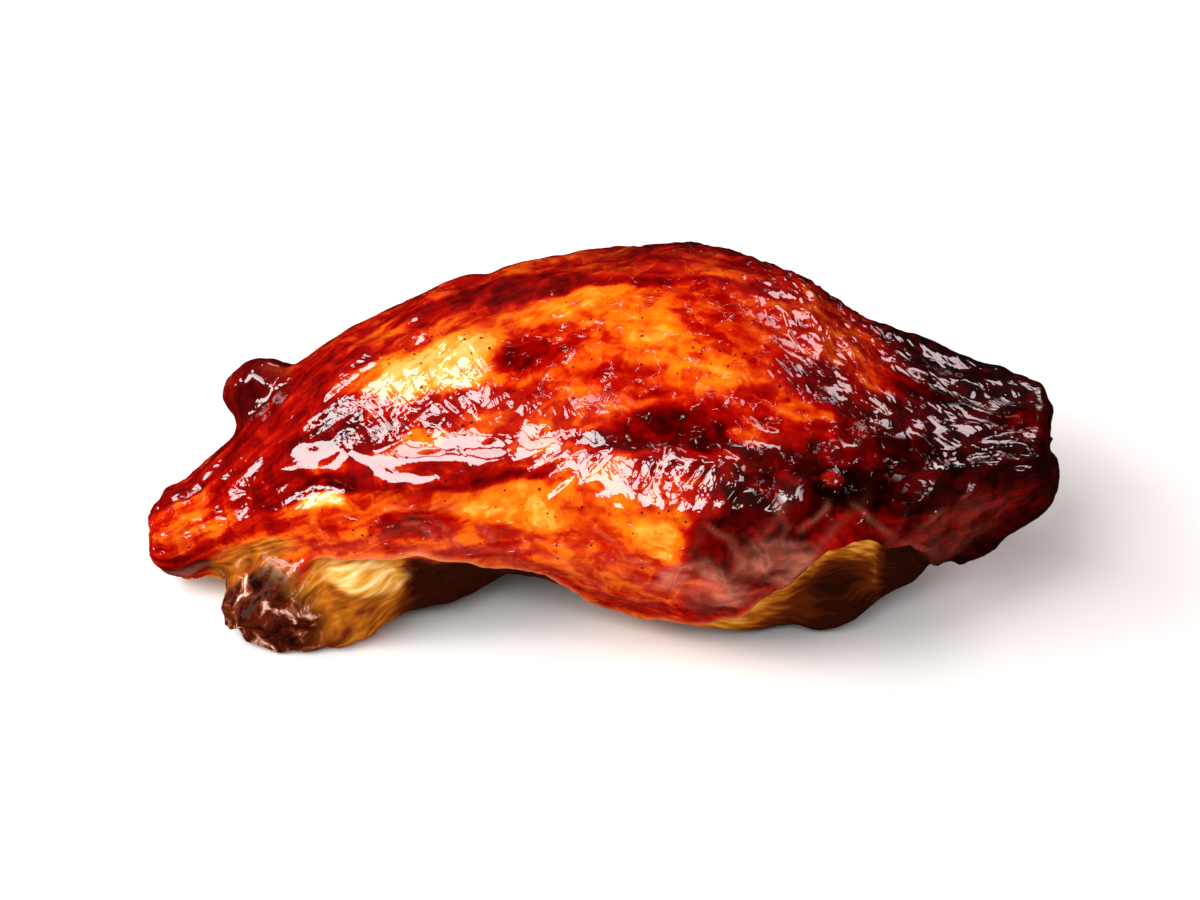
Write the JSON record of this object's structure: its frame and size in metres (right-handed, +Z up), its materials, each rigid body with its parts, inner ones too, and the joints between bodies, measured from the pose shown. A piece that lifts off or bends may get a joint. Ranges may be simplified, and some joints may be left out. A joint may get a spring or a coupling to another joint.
{
  "type": "chicken wing",
  "caption": "Glazed barbecued chicken wing lying skin side up: domed skin, knuckled bone ends at one side and a charred cut end at the other.",
  "frame": {"origin": "on the table, under the middle of the wing", "axes": "+X along the wing from its two knuckles to its charred cut end, +Z up out of the skin side, -Y towards the skin's open hem"},
  "size_m": [0.0926, 0.044, 0.0335],
  "materials": {
    "chicken_wing": "sticky red-brown barbecue glaze over cooked skin"
  },
  "bodies": {
    "root": {"chicken_wing": "chicken_wing"}
  },
  "joints": []
}
